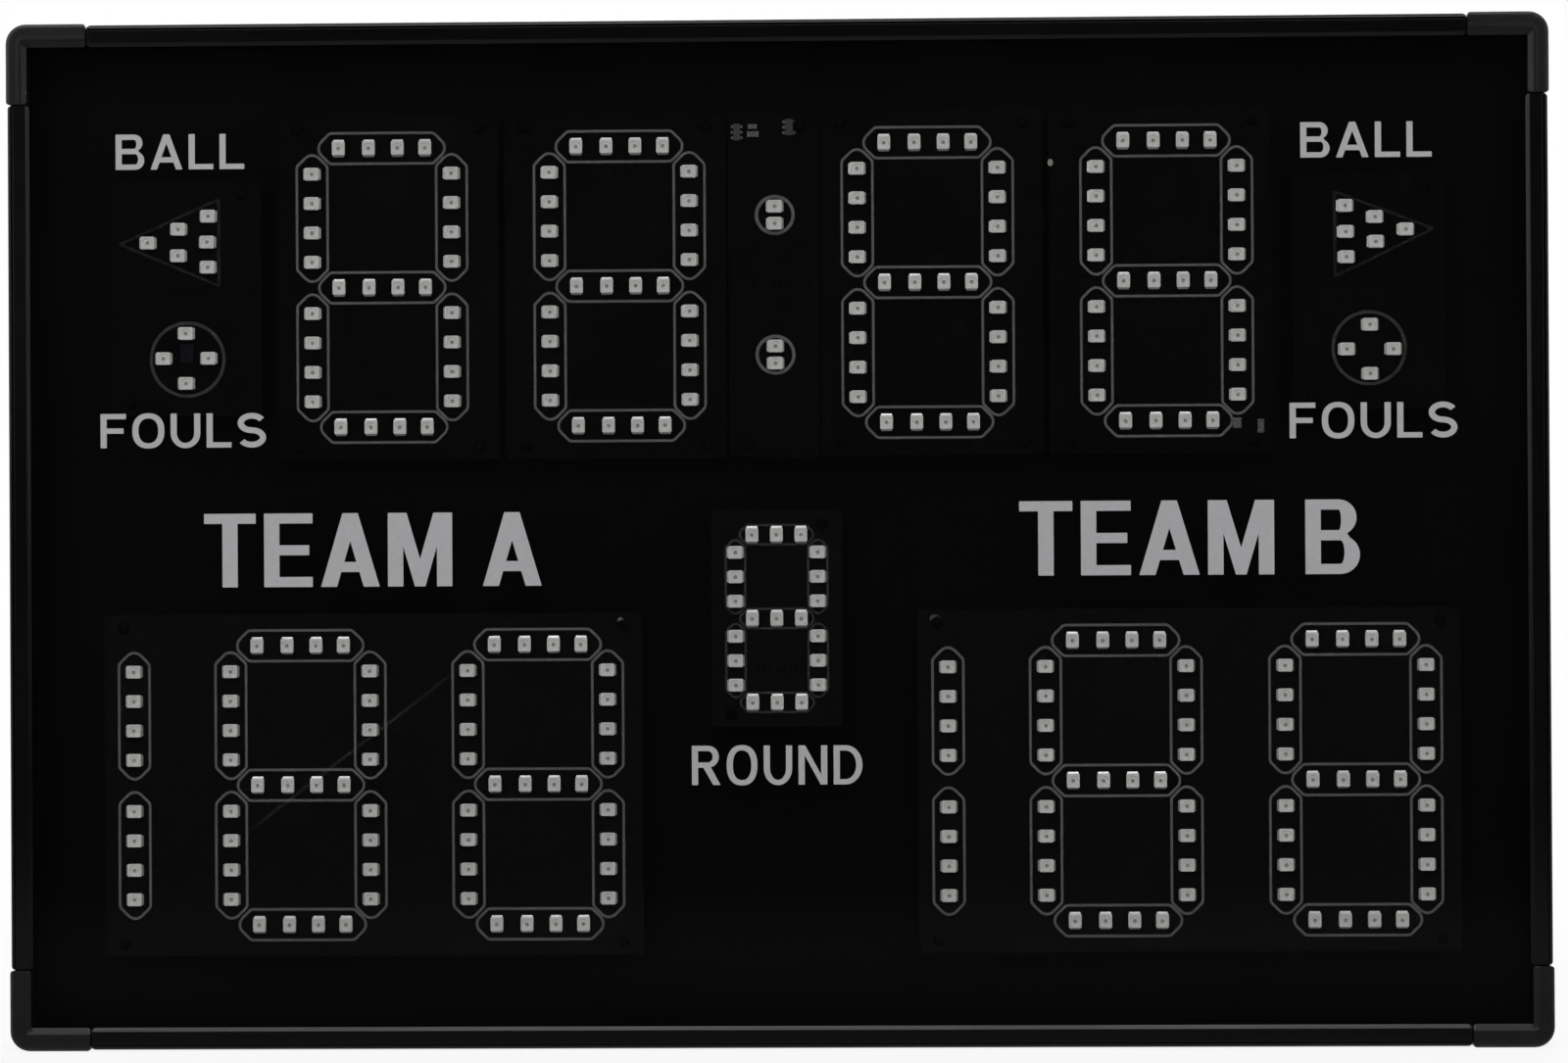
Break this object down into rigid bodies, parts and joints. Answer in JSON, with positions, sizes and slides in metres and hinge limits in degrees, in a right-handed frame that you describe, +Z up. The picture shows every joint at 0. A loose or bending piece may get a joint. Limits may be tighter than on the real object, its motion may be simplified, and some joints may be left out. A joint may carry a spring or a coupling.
{
  "type": "electronic scoreboard",
  "caption": "Framed wall or table scoreboard: LED digit boards behind a smoked panel, rear cover with keyhole hangers, horn, and side power inlet, rocker switch and pairing button.",
  "frame": {"origin": "middle of the underside of the corner caps, half way between the front and the back", "axes": "+X to the right as seen from the front, +Y from the front to the back, +Z up; the display faces -Y"},
  "size_m": [0.6125, 0.04, 0.4076],
  "materials": {
    "anodised": "black anodised, fine satin",
    "cap": "moulded, fine matt grain",
    "panel": "smoked, glossy",
    "tray": "moulded matt black",
    "cover": "moulded, fine matt grain",
    "board": "black solder mask on glass fibre board",
    "steel": "bright zinc plate",
    "black_screw": "black zinc plate",
    "plastic": "moulded, semi-matt black",
    "ribbon": "grey flat cable",
    "cone": "pressed dark paper",
    "lead": "black insulation"
  },
  "bodies": {
    "scoreboard": {"bottom_rail": "anodised", "top_rail": "anodised", "left_rail": "anodised", "right_rail": "anodised", "bottom_left_cap": "cap", "bottom_right_cap": "cap", "top_right_cap": "cap", "top_left_cap": "cap", "front_panel": "panel", "display_tray": "tray", "rear_cover": "cover", "timer_digit_board_1": "board", "timer_digit_board_2": "board", "timer_digit_board_3": "board", "timer_digit_board_4": "board", "colon_board": "board", "left_score_board": "board", "right_score_board": "board", "small_digit_board": "board", "left_indicator_board": "board", "right_indicator_board": "board", "upper_harness": "ribbon", "lower_harness": "ribbon", "control_board": "board", "receiver_module": "board", "aerial_wire": "steel", "horn_frame": "plastic", "horn_cone": "cone", "horn_magnet": "steel", "cover_screw_1": "black_screw", "cover_screw_2": "black_screw", "cover_screw_3": "black_screw", "cover_screw_4": "black_screw", "cover_screw_5": "black_screw", "cover_screw_6": "black_screw", "cover_screw_7": "black_screw", "cover_screw_8": "black_screw", "cover_screw_9": "black_screw", "cover_screw_10": "black_screw", "horn_screw_1": "black_screw", "horn_screw_2": "black_screw", "horn_screw_3": "black_screw", "horn_screw_4": "black_screw", "left_hanger_plate": "steel", "right_hanger_plate": "steel", "left_hanger_screw_1": "steel", "left_hanger_screw_2": "steel", "right_hanger_screw_1": "steel", "right_hanger_screw_2": "steel", "dc_inlet": "plastic", "inlet_nut": "steel", "switch_housing": "plastic", "button_housing": "plastic", "inlet_lead": "lead", "supply_lead": "lead", "horn_lead": "lead"},
    "rocker": {"power_rocker": "plastic"},
    "button": {"pairing_button": "plastic"}
  },
  "joints": [
    {"name": "rocker_hinge", "type": "hinge", "parent": "scoreboard", "child": "rocker", "pos_m": [0.3025, 0.0062, 0.104], "axis": [0, -1, 0], "range_deg": [0, 22]},
    {"name": "button_slide", "type": "slide", "parent": "scoreboard", "child": "button", "axis": [-1, 0, 0], "range_m": [0, 0.0015], "stiffness_N_per_m": 300, "springref_m": -0.003}
  ]
}
